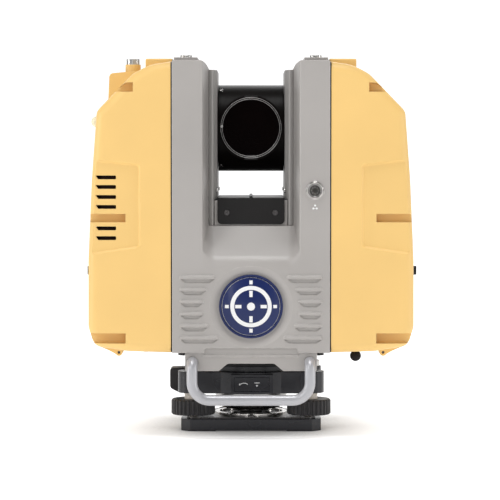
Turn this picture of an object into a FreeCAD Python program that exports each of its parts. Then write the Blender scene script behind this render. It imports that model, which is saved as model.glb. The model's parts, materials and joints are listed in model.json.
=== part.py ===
"""Terrestrial laser scanner on its tribrach, as separate solids in one frame.

The origin is on the azimuth axis, at the underside of the base plate. +Z is up, the
front faces -Y and +X is to the right. Lengths are millimetres.
"""
import FreeCAD, Part
import math
import os
import re
import Sketcher
from FreeCAD import Placement, Rotation, Vector

SIZES = {
    # base plate and foot screws
    "base_half": 64.7, "base_front": 48, "base_rear": 76, "base_high": 11, "base_corner": 8.5,
    "base_relief": 1, "relief_radius": 58, "insert_radius": 14, "tripod_bore": 6.87,
    "screw_side": 53.6, "screw_front": 31, "screw_back": 61.9,
    "knob_low": 14.4, "knob_high": 28.7, "knob_radius": 20.3, "flute_radius": 1.35, "flutes": 30,
    "ball_radius": 4.6, "shank_radius": 3.6, "core_radius": 5, "collar_radius": 8.2, "collar_high": 36.5,
    "spindle_high": 48, "spring_high": 12.4, "spring_ring": 33.5,
    # tribrach head, its lever and its level
    "head_low": 34.7, "head_high": 54.5, "lobe_radius": 14.1, "hub_radius": 53, "head_bore": 24,
    "bush_low": 41, "bush_high": 51, "bush_radius": 8.7, "bush_top": 52.4, "bowl_low": 18,
    "bowl_radius": 33.5, "bowl_foot": 27, "bowl_bend": 25,
    "lever_reach": 75.9, "lever_inner": 58, "ring_outer": 37, "ring_inner": 26, "ring_low": 45.8,
    "ring_high": 51.8, "running_gap": 0.4, "level_side": 56, "level_back": 20, "level_radius": 9,
    # azimuth axis
    "adapter_radius": 47, "adapter_high": 59.6, "spindle_radius": 20, "spindle_bore": 14,
    "turret_radius": 50, "turret_low": 60.2, "pan_low": 73.8, "pan_high": 77, "gear_radius": 34,
    "gear_low": 62, "gear_high": 67, "pinion_radius": 6, "gear_gap": 0.4, "slab_high": 90,
    # central housing
    "seam_half": 70.9, "body_half": 100, "wall": 3, "tower_top": 339.5, "crown_top": 343,
    "mouth_half": 43.5, "mouth_low": 158.75, "mouth_side_round": 1.4, "mouth_low_round": 18,
    "throat_half": 38.6, "throat_low": 190, "throat_depth": 64,
    "gap_half": 30.9, "liner_top": 332, "liner_skin": 3.3,
    "apron_half": 59.3, "apron_low": 60.5, "apron_back": 78, "arch_half": 29, "arch_top_half": 21,
    "arch_top": 67.2, "emblem_level": 118.8, "emblem_radius": 28.7, "dish_radius": 37.3, "dish_deep": 2.9,
    "rib_end": 64.1, "rib_low": 90.4, "rib_pitch": 10.88, "rib_radius": 1.9, "rib_sunk": 0.2,
    "scoop_high": 3.2, "scoop_slant": 4, "scoop_deep": 0.9,
    "bead_radius": 1.2, "bead_level": 74.4, "bead_end": 42,
    "plate_top": 215.5, "plate_low": 191.5, "plate_half": 30.5, "plate_thick": 2, "plate_screw": 22,
    "plate_screw_level": 202,
    "connector_side": 57.4, "connector_level": 222.9, "connector_radius": 7,
    # mirror axis
    "mirror_level": 279.5, "drum_radius": 40.06, "drum_half": 30.3, "window_outer": 29,
    "window_inner": 26, "axle_radius": 6, "beam_radius": 16, "mirror_radius": 22, "mirror_thick": 2.4,
    "mirror_room": 27, "hub_outer": 20,
    # side covers
    "rim": 71.9, "cover_half": 99.5, "cover_wall": 3.6, "cover_round": 9, "cover_low": 76.7,
    "cover_top": 338.4, "panel_deep": 1.9,
    "waist": 139.2, "widest": 146.6, "ridge_end": 95.9, "ridge_top": 342.2,
    "door_half": 75, "door_top": 176.8, "door_proud": 1, "door_wall": 2.6, "door_gap": 0.5,
    "hinge_side": 119.5, "hinge_level": 76.2, "hinge_radius": 3.2, "hinge_pin": 1.3,
    "latch_back": 66, "latch_level": 149.6, "latch_reach": 150.6, "latch_radius": 4.2,
    # handholds
    "bar_radius": 4.8, "bar_side": 52.8, "bar_level": 35.2, "bar_top": 68.6, "bar_front": 109,
    "bar_bend": 16, "bar_neck": 8,
    "accessory_bore": 2.55, "vent_half": 1.7, "fan_face": 129.6, "lamp_back": -30, "lamp_level": 285.1,
    "lamp_radius": 5.1, "hatch_back": 98.4, "hatch_level": 102.2,
}

DOC = FreeCAD.newDocument("laser_scanner")
SHEET = DOC.addObject("Spreadsheet::Sheet", "dims")
PIECES = {}
ALONG = {
    "x": Rotation(Vector(0, 1, 0), 90),
    "y": Rotation(Vector(1, 0, 0), -90),
    "z": Rotation(),
}


def fill_sheet():
    for row, (name, size) in enumerate(SIZES.items(), start=1):
        SHEET.set(f"A{row}", name)
        SHEET.set(f"B{row}", str(size))
        SHEET.setAlias(f"B{row}", name)
    DOC.recompute()


def formula(text):
    """Puts the sheet's name before each size that a formula uses."""
    return re.sub(r"[a-z]\w*", lambda word: f"dims.{word.group()}" if word.group() in SIZES else word.group(),
                  str(text))


def number(text):
    """The value that a formula has now, to place a sketch point near its constraint."""
    return float(SHEET.evalExpression(formula(text)))


def bind(thing, **formulas):
    for name, text in formulas.items():
        thing.setExpression(name.replace("__", "."), formula(text))
    return thing


def place(thing, start):
    return bind(thing, Placement__Base__x=start[0], Placement__Base__y=start[1], Placement__Base__z=start[2])


def box(low, high):
    block = DOC.addObject("Part::Box", "block")
    bind(block, Length=f"({high[0]}) - ({low[0]})", Width=f"({high[1]}) - ({low[1]})",
         Height=f"({high[2]}) - ({low[2]})")
    return place(block, low)


def rod(axis, radius, start, length):
    cylinder = DOC.addObject("Part::Cylinder", "rod")
    cylinder.Placement.Rotation = ALONG[axis]
    bind(cylinder, Radius=radius, Height=length)
    return place(cylinder, start)


def cone(axis, radius, end_radius, start, length):
    taper = DOC.addObject("Part::Cone", "cone")
    taper.Placement.Rotation = ALONG[axis]
    bind(taper, Radius1=radius, Radius2=end_radius, Height=length)
    return place(taper, start)


def ball(radius, centre):
    return place(bind(DOC.addObject("Part::Sphere", "ball"), Radius=radius), centre)


def tube(axis, outer, inner, start, length):
    return cut(rod(axis, outer, start, length), rod(axis, inner, start, length))


def fuse(*shapes):
    union = DOC.addObject("Part::MultiFuse", "fuse")
    union.Shapes = list(shapes)
    union.Refine = True
    return union


def cut(base, *tools):
    rest = DOC.addObject("Part::Cut", "cut")
    rest.Base = base
    rest.Tool = tools[0] if len(tools) == 1 else fuse(*tools)
    rest.Refine = True
    return rest


def common(first, second):
    shared = DOC.addObject("Part::MultiCommon", "common")
    shared.Shapes = [first, second]
    shared.Refine = True
    return shared


def mirrored(shape, normal):
    twin = DOC.addObject("Part::Mirroring", "mirrored")
    twin.Source = shape
    twin.Normal = normal
    return twin


def group(*shapes):
    """Separate solids that share one node."""
    cluster = DOC.addObject("Part::Compound", "group")
    cluster.Links = list(shapes)
    return cluster


def rounded(shape, radius, chosen):
    """Rounds the edges whose middle point passes the test."""
    DOC.recompute()
    fillet = DOC.addObject("Part::Fillet", "fillet")
    fillet.Base = shape
    size = number(radius)
    fillet.Edges = [(index, size, size) for index, edge in enumerate(shape.Shape.Edges, start=1)
                    if chosen(edge)]
    return fillet


def sunk_panel(face, corners, deep):
    """A shallow recess in a face towards -Y, with sides sloping in at 45 degrees."""
    body = DOC.addObject("PartDesign::Body", "panel")
    pad = body.newObject("PartDesign::Pad", "pad")
    pad.Profile = outline(body, "XZ_Plane", face, corners)
    pad.Reversed = True
    pad.TaperAngle = -45
    bind(pad, Length=deep)
    return body


def both_sides(*right):
    """Shapes on the right and their mirror images on the left."""
    return [*right, *[mirrored(shape, Vector(1, 0, 0)) for shape in right]]


def piece(name, shape):
    shape.Label = name
    PIECES[name] = shape
    return shape


def plane(body, role):
    return next(item for item in body.Origin.OriginFeatures if item.Role == role)


def outline(body, role, offset, corners):
    """A closed sketch through corners of (across, up) or (across, up, radius)."""
    sketch = body.newObject("Sketcher::SketchObject", "outline")
    sketch.AttachmentSupport = [(plane(body, role), "")]
    sketch.MapMode = "FlatFace"
    bind(sketch, AttachmentOffset__Base__z=offset)
    count = len(corners)
    spots = [Vector(number(corner[0]), number(corner[1]), 0) for corner in corners]
    for index in range(count):
        sketch.addGeometry(Part.LineSegment(spots[index], spots[(index + 1) % count]), False)
    for index in range(count):
        sketch.addConstraint(Sketcher.Constraint("Coincident", index, 2, (index + 1) % count, 1))
    for index, corner in enumerate(corners):
        for kind, place_name, text, value in (("DistanceX", "across", corner[0], spots[index].x),
                                              ("DistanceY", "up", corner[1], spots[index].y)):
            which = sketch.addConstraint(Sketcher.Constraint(kind, index, 1, value))
            sketch.renameConstraint(which, f"{place_name}{index}")
            sketch.setExpression(f"Constraints.{place_name}{index}", formula(text))
    for index, corner in enumerate(corners):
        if len(corner) == 3:
            sketch.fillet((index - 1) % count, 2, number(corner[2]), True, True)
    return sketch


def prism(role, corners, low, high):
    """An outline on an origin plane, raised from low to high along that plane's axis."""
    body = DOC.addObject("PartDesign::Body", "prism")
    offset = f"-({high})" if role == "XZ_Plane" else low
    pad = body.newObject("PartDesign::Pad", "pad")
    pad.Profile = outline(body, role, offset, corners)
    bind(pad, Length=f"({high}) - ({low})")
    return body


# ---------------------------------------------------------------- tribrach

FOOT_SCREWS = {
    "left": ("-screw_side", "-screw_front"),
    "right": ("screw_side", "-screw_front"),
    "rear": ("0", "screw_back"),
}


def make_base_plate():
    corners = [("-base_half", "-base_front + base_corner", "2"),
               ("-base_half + base_corner", "-base_front", "2"),
               ("base_half - base_corner", "-base_front", "2"),
               ("base_half", "-base_front + base_corner", "2"), ("base_half", "-20", "14"),
               ("17", "base_rear", "14"), ("-17", "base_rear", "14"), ("-base_half", "-20", "14")]
    plate = prism("XY_Plane", corners, "0", "base_high")
    relief = tube("z", "relief_radius", "insert_radius + 3", ("0", "0", "0"), "base_relief")
    sockets = [rod("z", "ball_radius + 0.3", (across, back, "3"), "base_high") for across, back in
               FOOT_SCREWS.values()]
    bore = rod("z", "insert_radius", ("0", "0", "0"), "base_high")
    piece("base_plate", cut(plate, relief, bore, *sockets))
    piece("tripod_thread_insert", tube("z", "insert_radius", "tripod_bore", ("0", "0", "0"), "base_high"))


def make_spring_plate():
    corners = [("-base_half + 5", "-base_front + 5", "12"), ("base_half - 5", "-base_front + 5", "12"),
               ("base_half - 5", "-24", "12"), ("14", "base_rear - 4", "10"), ("-14", "base_rear - 4", "10"),
               ("-base_half + 5", "-24", "12")]
    sheet = prism("XY_Plane", corners, "base_high", "spring_high")
    ring = tube("z", "spring_ring", "spring_ring - 4", ("0", "0", "spring_high - 0.4"), "2.2")
    holes = [rod("z", "shank_radius + 0.4", (across, back, "base_high"), "5") for across, back in
             FOOT_SCREWS.values()]
    bore = rod("z", "insert_radius + 4", ("0", "0", "base_high"), "5")
    spots = [("0", "-40.5"), ("-27", "29"), ("27", "29")]
    heads = [cut(rod("z", "3", (across, back, "spring_high"), "1.6"),
                 rod("z", "1.2", (across, back, "spring_high + 0.8"), "1")) for across, back in spots]
    ring_room = rod("z", "spring_ring", ("0", "0", "spring_high - 0.4"), "2")
    piece("spring_plate", group(cut(sheet, bore, ring_room, *holes), *heads))
    piece("spring_ring", ring)


def make_foot_screw(side):
    across, back = FOOT_SCREWS[side]
    stem = fuse(
        ball("ball_radius", (across, back, "8")),
        rod("z", "shank_radius", (across, back, "8"), "knob_low - 8"),
        rod("z", "core_radius", (across, back, "knob_low"), "spindle_high - knob_low"),
        rod("z", "collar_radius", (across, back, "knob_high"), "collar_high - knob_high"),
    )
    piece(f"foot_screw_spindle_{side}", stem)
    piece(f"foot_screw_knob_{side}", place(fluted_knob(), (across, back, "knob_low")))


def fluted_knob():
    """A disc with a bore, chamfered rims and a ring of half-round flutes."""
    body = DOC.addObject("PartDesign::Body", "knob")
    disc = body.newObject("Sketcher::SketchObject", "disc")
    disc.AttachmentSupport = [(plane(body, "XY_Plane"), "")]
    disc.MapMode = "FlatFace"
    for index, (name, size) in enumerate((("rim", "knob_radius"), ("bore", "core_radius"))):
        disc.addGeometry(Part.Circle(Vector(0, 0, 0), Vector(0, 0, 1), number(size)), False)
        disc.addConstraint(Sketcher.Constraint("Coincident", index, 3, -1, 1))
        which = disc.addConstraint(Sketcher.Constraint("Radius", index, number(size)))
        disc.renameConstraint(which, name)
        disc.setExpression(f"Constraints.{name}", formula(size))
    pad = body.newObject("PartDesign::Pad", "pad")
    pad.Profile = disc
    bind(pad, Length="knob_high - knob_low")
    DOC.recompute()
    reach = number("knob_radius")
    rims = [f"Edge{index}" for index, edge in enumerate(pad.Shape.Edges, start=1)
            if abs(edge.BoundBox.XLength / 2 - reach) < 0.1 and edge.BoundBox.ZLength < 0.1]
    chamfer = body.newObject("PartDesign::Chamfer", "chamfer")
    chamfer.Base = (pad, rims)
    chamfer.Size = 1.2
    flute = body.newObject("Sketcher::SketchObject", "flute")
    flute.AttachmentSupport = [(plane(body, "XY_Plane"), "")]
    flute.MapMode = "FlatFace"
    flute.addGeometry(Part.Circle(Vector(reach, 0, 0), Vector(0, 0, 1), number("flute_radius")), False)
    pocket = body.newObject("PartDesign::Pocket", "pocket")
    pocket.Profile = flute
    pocket.Type = "ThroughAll"
    pocket.Reversed = True
    DOC.recompute()
    pattern = body.newObject("PartDesign::PolarPattern", "flutes")
    pattern.Originals = [pocket]
    pattern.Axis = (next(item for item in body.Origin.OriginFeatures if item.Role == "Z_Axis"), [""])
    pattern.Angle = 360
    bind(pattern, Occurrences="flutes")
    body.Tip = pattern
    return body


def make_tribrach_head():
    high = "head_high - head_low"
    spots = FOOT_SCREWS.values()
    hub = rod("z", "hub_radius", ("0", "0", "head_low"), high)
    lobes = [rod("z", "lobe_radius", (across, back, "head_low"), high) for across, back in spots]
    front_arm = box(("-screw_side", "-screw_front - lobe_radius", "head_low"),
                    ("screw_side", "-screw_front + lobe_radius", "head_high"))
    rear_arm = box(("-lobe_radius", "0", "head_low"), ("lobe_radius", "screw_back", "head_high"))
    label_pad = box(("-19", "-hub_radius - 0.8", "head_low + 1"),
                    ("20.5", "-hub_radius + 8", "head_high - 1.5"))
    counterbores = [rod("z", "bush_radius", (across, back, "head_low"), "bush_top - head_low")
                    for across, back in spots]
    bore = rod("z", "head_bore", ("0", "0", "head_low"), high)
    label_room = box(("-15.5", "-hub_radius - 2", "37.4"), ("17", "-hub_radius + 0.2", "50.6"))
    solid = fuse(hub, *lobes, front_arm, rear_arm, level_arm(), label_pad)
    piece("tribrach_head", cut(solid, bore, *lever_rooms(), label_room, *counterbores))
    bushes = [tube("z", "bush_radius", "core_radius + 0.08", (across, back, "bush_low"),
                   "bush_high - bush_low") for across, back in spots]
    piece("foot_screw_bushes", group(*bushes))
    piece("lock_label_plate", box(("-15.2", "-hub_radius - 0.5", "37.7"),
                                  ("16.7", "-hub_radius + 0.2", "50.3")))


def level_arm():
    """The lug that carries the level at the right of the head."""
    low = "head_low + 6"
    lug = rod("z", "level_radius + 1.5", ("level_side", "level_back", low), f"head_high - ({low})")
    web = box(("30", "level_back - level_radius - 1.5", low),
              ("level_side", "level_back + level_radius + 1.5", "head_high"))
    return fuse(lug, web)


def lever_rooms():
    """The ring groove and the side slot that the lever turns in."""
    low = "ring_low - running_gap"
    high = "ring_high - ring_low + 2 * running_gap"
    groove = tube("z", "ring_outer + running_gap", "ring_inner - running_gap", ("0", "0", low), high)
    wedge = prism("XY_Plane", [("0", "0"), ("-90", "-14"), ("-90", "95")], low, "ring_high + running_gap")
    slot = common(tube("z", "lever_inner + 6", "ring_outer - 4", ("0", "0", low), high), wedge)
    return groove, slot


def make_head_bowl():
    """The polished cup under the head that hides the springs, narrower at its foot."""
    bend = "bowl_bend - bowl_low"
    shell = cut(cone("z", "bowl_foot", "bowl_radius", ("0", "0", "bowl_low"), bend),
                rod("z", "bowl_radius - 9", ("0", "0", "bowl_low"), bend))
    skirt = tube("z", "bowl_radius", "bowl_radius - 3", ("0", "0", "bowl_bend"), "head_low - bowl_bend")
    piece("head_bowl", fuse(shell, skirt))


def make_lock_lever():
    grip = prism("XZ_Plane", [("-lever_reach", "55", "3"), ("-lever_inner", "55.4"), ("-lever_inner", "37"),
                              ("-lever_inner - 9", "31.6", "3"), ("-lever_reach", "36", "4")], "-8", "10.5")
    arm = box(("-lever_inner - 1", "-5", "ring_low"), ("-ring_outer + 3", "5", "ring_high"))
    ring = tube("z", "ring_outer", "ring_inner", ("0", "0", "ring_low"), "ring_high - ring_low")
    piece("lock_lever", fuse(grip, arm, ring))


def make_circular_level():
    spot = ("level_side", "level_back")
    cup = cut(rod("z", "level_radius", (*spot, "head_high"), "5.5"),
              rod("z", "level_radius - 2", (*spot, "head_high + 1.2"), "6"))
    vial = rod("z", "level_radius - 2.1", (*spot, "head_high + 1.3"), "4.4")
    piece("circular_level", group(cup, vial))


def make_adapter():
    flange = rod("z", "adapter_radius", ("0", "0", "head_high"), "adapter_high - head_high")
    plug = rod("z", "head_bore", ("0", "0", "head_high - 6"), "6")
    bore = rod("z", "spindle_bore", ("0", "0", "head_high - 7"), "20")
    piece("base_adapter", cut(fuse(flange, plug), bore))
    spindle = tube("z", "spindle_radius", "spindle_bore", ("0", "0", "adapter_high"),
                   "slab_high + 4 - adapter_high")
    disc = tube("z", "32", "spindle_radius", ("0", "0", "70"), "1.4")
    piece("azimuth_spindle", group(spindle, disc))


RING_TEETH = 60
PINION_TEETH = 11


def toothed_wheel(radius, bore, teeth, spot, low, high):
    """A wheel with straight tooth gaps cut into its rim."""
    across, back = spot
    rim = tube("z", radius, bore, (across, back, low), f"{high} - {low}")
    step = 360 / teeth
    gaps = []
    for index in range(teeth):
        angle = index * step
        reach = number(radius)
        gaps.append(rod("z", "0.75", (f"{across} + {reach * math.cos(math.radians(angle)):.3f}",
                                      f"{back} + {reach * math.sin(math.radians(angle)):.3f}", low),
                        f"{high} - {low}"))
    return cut(rim, *gaps)


def make_azimuth_drive():
    ring = toothed_wheel("gear_radius", "spindle_radius", RING_TEETH, ("0", "0"), "gear_low", "gear_high")
    piece("azimuth_ring_gear", ring)
    spot = ("0", "gear_radius + pinion_radius + gear_gap")
    pinion = toothed_wheel("pinion_radius", "2", PINION_TEETH, spot, "gear_low", "gear_high")
    piece("azimuth_pinion", fuse(pinion, rod("z", "2", (*spot, "gear_low"), "34")))
    motor = cut(rod("z", "14", (*spot, "slab_high"), "38"), rod("z", "2.06", (*spot, "slab_high"), "9"))
    stator = tube("x", "22", "14.4", ("-60", "0", "mirror_level"), "14.8")
    flange = tube("x", "22", "17", ("-46", "0", "mirror_level"), "5.5")
    piece("drive_motors", group(motor, fuse(stator, flange)))


# ---------------------------------------------------------------- central housing

def make_chassis():
    spot = ("0", "gear_radius + pinion_radius + gear_gap")
    slab = box(("-62", "-70", "pan_high"), ("62", "70", "slab_high"))
    beam = box(("-34.5", "-58", "throat_low + 5"), ("34.5", "58", "plate_top - 2"))
    upright = fuse(box(("34.5", "-45", "slab_high - 5"), ("40.5", "45", "325")),
                   box(("40.5", "-45", "slab_high - 5"), ("62", "-41", "325")),
                   box(("40.5", "41", "slab_high - 5"), ("62", "45", "325")))
    frame = fuse(slab, beam, upright, mirrored(upright, Vector(1, 0, 0)))
    bores = [
        rod("z", "27", ("0", "0", "pan_high - 1"), "slab_high - pan_high + 2"),
        rod("z", "8", (*spot, "pan_high - 1"), "slab_high - pan_high + 2"),
        rod("x", "15", ("-70", "0", "mirror_level"), "50"),
        rod("x", "25", ("20", "0", "mirror_level"), "50"),
    ]
    piece("chassis", cut(frame, *bores))


def make_bottom_pan():
    corners = [("-66", "-92", "10"), ("66", "-92", "10"), ("66", "92", "10"), ("-66", "92", "10")]
    sheet = prism("XY_Plane", corners, "pan_low", "pan_high")
    turret = rod("z", "turret_radius", ("0", "0", "turret_low"), "pan_low - turret_low")
    room = rod("z", "turret_radius - 2.4", ("0", "0", "turret_low + 1.2"), "30")
    hole = rod("z", "spindle_radius + 4", ("0", "0", "turret_low - 1"), "5")
    notch = box(("-apron_half - 0.5", "-94", "pan_low - 1"),
                ("apron_half + 0.5", "-apron_back + 0.4", "pan_high + 1"))
    piece("bottom_pan", cut(fuse(sheet, turret), room, hole, notch, mirrored(notch, Vector(0, 1, 0))))


RIB_INNER_ENDS = (29, 38.4, 42.6, 42.6, 39.8, 32.1)


def rib_rows():
    """Each rib's level, inner end and side."""
    for row, inner in enumerate(RIB_INNER_ENDS):
        for side in (-1, 1):
            yield f"rib_low + {row} * rib_pitch", inner, side


def ribs():
    """Round-ended bars in six rows each side of the emblem, sunk a little in the face."""
    bars = []
    depth = "-body_half + rib_sunk"
    for level, inner, side in rib_rows():
        start = f"{inner} + rib_radius" if side > 0 else "-rib_end + rib_radius"
        end = "rib_end - rib_radius" if side > 0 else f"-{inner} - rib_radius"
        bars.append(rod("x", "rib_radius", (start, depth, level), f"({end}) - ({start})"))
        bars += [ball("rib_radius", (across, depth, level)) for across in (start, end)]
    return fuse(*bars)


def rib_scoops():
    """A shallow slant-ended hollow under each rib."""
    scoops = []
    for level, inner, side in rib_rows():
        start, end = (f"{inner} + 1", "rib_end - 1") if side > 0 else ("1 - rib_end", f"-{inner} - 1")
        top, low = f"{level} - 1.4", f"{level} - 1.4 - scoop_high"
        corners = [(start, top), (f"{start} + scoop_slant", low, "1"),
                   (f"{end} - scoop_slant", low, "1"), (end, top)]
        scoops.append(prism("XZ_Plane", corners, "-body_half - 3", "-body_half + scoop_deep"))
    return scoops


def half_shell():
    """The gray shell in front of the middle plane, as the front and rear covers share it."""
    hull = prism("XZ_Plane", [("-seam_half", "pan_high"), ("seam_half", "pan_high"),
                              ("seam_half", "tower_top", "1.5"), ("throat_half", "tower_top", "8"),
                              ("throat_half", "throat_low"), ("-throat_half", "throat_low"),
                              ("-throat_half", "tower_top", "8"), ("-seam_half", "tower_top", "1.5")],
                 "-body_half", "0")
    apron = prism("XZ_Plane", [("-apron_half", "pan_high + 1"), ("-apron_half", "apron_low", "1.5"),
                               ("-arch_half", "apron_low", "3"), ("-arch_top_half", "arch_top", "5"),
                               ("arch_top_half", "arch_top", "5"), ("arch_half", "apron_low", "3"),
                               ("apron_half", "apron_low", "1.5"), ("apron_half", "pan_high + 1")],
                  "-body_half + 2", "-apron_back")
    crown = [box((low, "-70", "tower_top - 1"), (high, "0", "crown_top"))
             for low, high in (("-seam_half + 1", "-48.5"), ("48.5", "seam_half - 1"))]
    funnel = DOC.addObject("Part::Feature", "funnel")
    funnel.Shape = funnel_void()
    mouth = soften_mouth(cut(hull, funnel))
    backing = box(("-33.2", "-throat_depth + 2.4", "throat_low - 2"),
                  ("33.2", "-throat_depth + 4", "plate_top - 2.3"))
    return fuse(cut(fuse(mouth, apron, *crown), *shell_rooms()), backing)


def shell_rooms():
    """The space inside the half shell: up both towers, across below, and the slits for the liners."""
    tower_room = prism("XY_Plane", [("mouth_half + 3.4", "-body_half + wall"),
                                    ("seam_half - wall", "-body_half + wall"),
                                    ("seam_half - wall", "1"), ("throat_half + wall", "1"),
                                    ("throat_half + wall", "-throat_depth + 2")],
                       "mouth_low + 4", "tower_top - wall")
    low_room = prism("YZ_Plane", [("-body_half + wall", "pan_high + 3.5"),
                                  ("-apron_back + 0.4", "pan_high + 3.5"),
                                  ("-apron_back + 0.4", "pan_high - 1"), ("1", "pan_high - 1"),
                                  ("1", "throat_low - 2"), ("-throat_depth", "throat_low - wall - 1"),
                                  ("-body_half + wall", "mouth_low - wall - 2")],
                     "-seam_half + wall", "seam_half - wall")
    slit = box(("-throat_half - 1", "-throat_depth + 6", "throat_low - 5"),
               ("throat_half + 1", "1", "throat_low + 1"))
    side_slit = box(("throat_half - 1", "-throat_depth + 6", "throat_low - 5"),
                    ("throat_half + wall + 0.5", "1", "liner_top - 3.6"))
    twins = [mirrored(room, Vector(1, 0, 0)) for room in (tower_room, side_slit)]
    return tower_room, side_slit, *twins, low_room, slit


def soften_mouth(shape):
    """Rounds the mouth's edge: tight up the sides and wide along the bottom, growing round the corners."""
    DOC.recompute()
    face = -number("body_half")
    reach = number("mouth_half") + 0.5
    foot = number("mouth_low")

    def radius(point):
        return number("mouth_low_round" if point.z < foot + 6 else "mouth_side_round")

    fillet = DOC.addObject("Part::Fillet", "mouth_edge")
    fillet.Base = shape
    chosen = []
    for index, edge in enumerate(shape.Shape.Edges, start=1):
        bounds = edge.BoundBox
        flat = max(abs(bounds.YMin - face), abs(bounds.YMax - face)) < 0.01
        if flat and max(-bounds.XMin, bounds.XMax) < reach and bounds.ZMin > foot - 0.5:
            chosen.append((index, radius(edge.Vertexes[0].Point), radius(edge.Vertexes[-1].Point)))
    fillet.Edges = chosen
    return fillet


def funnel_void():
    """The mouth between the towers: a loft from the wide front opening to the throat."""
    def section(half, low, back, corner):
        top = number("tower_top") + 10
        low_left = Vector(-half, back, low)
        low_right = Vector(half, back, low)
        turn = corner * (1 - math.sqrt(0.5))
        left = Part.Arc(Vector(-half, back, low + corner), low_left + Vector(turn, 0, turn),
                        low_left + Vector(corner, 0, 0)).toShape()
        right = Part.Arc(low_right - Vector(corner, 0, 0), low_right + Vector(-turn, 0, turn),
                         Vector(half, back, low + corner)).toShape()
        floor = Part.makeLine(low_left + Vector(corner, 0, 0), low_right - Vector(corner, 0, 0))
        edges = [left, floor, right,
                 Part.makeLine(Vector(half, back, low + corner), Vector(half, back, top)),
                 Part.makeLine(Vector(half, back, top), Vector(-half, back, top)),
                 Part.makeLine(Vector(-half, back, top), Vector(-half, back, low + corner))]
        return Part.Wire(edges)

    front = -number("body_half")
    back = -number("throat_depth")
    half, low = number("mouth_half"), number("mouth_low")
    inner, high = number("throat_half"), number("throat_low")
    reach = 1 / (back - front)
    ahead = section(half + (half - inner) * reach, low - (high - low) * reach, front - 1, 12)
    behind = section(inner, high, back, 5)
    loft = Part.makeLoft([ahead, behind], True, True)
    return loft


def make_front_cover(shell):
    level = "emblem_level"
    dish = cone("y", "dish_radius", "emblem_radius + 1.5", ("0", "-body_half", level), "dish_deep")
    seat = rod("y", "emblem_radius", ("0", "-body_half - 1", level), "4")
    socket = rod("y", "connector_radius", ("connector_side", "-body_half - 1", "connector_level"), "6")
    corners = [("-43", "74"), ("43", "74"), ("41.6", "81.2", "2.5"), ("-41.6", "81.2", "2.5")]
    ledge = prism("XZ_Plane", corners, "-body_half - 1", "-body_half + 2")
    back = rod("y", "emblem_radius + 6", ("0", "-body_half + 1", level), "5.4")
    hollows = [dish, seat, socket, ledge, *rib_scoops(), *seam_screw_holes(), *bar_holes(-1)]
    piece("front_cover", fuse(cut(fuse(shell, ribs(), back), *hollows), ledge_bead()))


def ledge_bead():
    """A raised line under the ledge at the foot of the front face."""
    spot = ("-body_half + 2", "bead_level")
    bead = rod("x", "bead_radius", ("-bead_end", *spot), "2 * bead_end")
    return fuse(bead, ball("bead_radius", ("-bead_end", *spot)), ball("bead_radius", ("bead_end", *spot)))


def make_rear_cover(shell):
    hatch = box(("-26", "body_half - 4", "100"), ("26", "body_half + 1", "138"))
    frame = box(("-30.5", "body_half - 6", "97"), ("30.5", "body_half - 1", "141"))
    window = box(("-22", "body_half - 7", "104"), ("22", "body_half + 1", "134"))
    scoops = [mirrored(scoop, Vector(0, 1, 0)) for scoop in rib_scoops()]
    pins = rod("x", "1.26", ("-28.6", "hatch_back", "hatch_level"), "57.2")
    solid = fuse(mirrored(shell, Vector(0, 1, 0)), mirrored(ribs(), Vector(0, 1, 0)), frame)
    piece("rear_cover", cut(solid, hatch, window, pins, *scoops, *seam_screw_holes(), *bar_holes(1)))


SCREW_LEVELS = ("90", "198.1", "314.6")
SCREW_ROWS = ("-92.5", "92.5")


def seam_screw_holes():
    return [rod("x", "1.8", (start, back, level), "8") for start in ("-seam_half - 2", "seam_half - 6")
            for back in SCREW_ROWS for level in SCREW_LEVELS]


def bar_holes(face):
    return [rod("y", "bar_radius", (f"{side} * bar_side", f"{face} * 96 - 6", "bar_top"), "12")
            for side in (-1, 1)]


def make_liners():
    corners = [("throat_half - 0.2", "-throat_depth + 2"), ("throat_half - 4", "-throat_depth + 0.3", "1.5"),
               ("gap_half", "-52", "8"), ("gap_half", "52", "8"),
               ("throat_half - 4", "throat_depth - 0.3", "1.5"),
               ("throat_half - 0.2", "throat_depth - 2"), ("throat_half - 0.2", "throat_depth - 5"),
               ("gap_half + liner_skin", "throat_depth - 9"), ("gap_half + liner_skin", "-throat_depth + 9"),
               ("throat_half - 0.2", "-throat_depth + 5")]
    sheet = prism("XY_Plane", corners, "throat_low", "liner_top")
    cap = prism("XY_Plane", corners[:6], "liner_top - 3", "liner_top")
    beam_room = box(("gap_half - 1", "-58.4", "throat_low"), ("throat_half", "58.4", "plate_top - 1.6"))
    panel = cut(fuse(sheet, cap), beam_room)
    right = cut(panel, rod("x", "24", ("20", "0", "mirror_level"), "16"))
    left = cut(mirrored(panel, Vector(1, 0, 0)), rod("x", "14", ("-36", "0", "mirror_level"), "16"))
    piece("tower_liners", group(left, right))


def make_gap_plate():
    """The black plate over the floor of the gap, with a leg down each end held by two sunk screws."""
    face = "-throat_depth + 0.2"
    leg = prism("XZ_Plane", [("-plate_half", "plate_low", "4"), ("plate_half", "plate_low", "4"),
                             ("plate_half", "plate_top"), ("-plate_half", "plate_top")],
                face, f"{face} + plate_thick")
    sinks = []
    for side in ("-plate_screw", "plate_screw"):
        sinks += [rod("y", "2.7", (side, f"{face} - 0.1", "plate_screw_level"), "1.3"),
                  rod("y", "1.5", (side, face, "plate_screw_level"), "plate_thick")]
    leg = cut(leg, *sinks)
    top = box(("-plate_half", face, "plate_top - plate_thick"),
              ("plate_half", "throat_depth - 0.2", "plate_top"))
    ridge = rod("y", "1.6", ("0", "-throat_depth + 0.6", "plate_top"), "2 * throat_depth - 1.2")
    piece("gap_plate", fuse(leg, mirrored(leg, Vector(0, 1, 0)), top, ridge))


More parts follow.
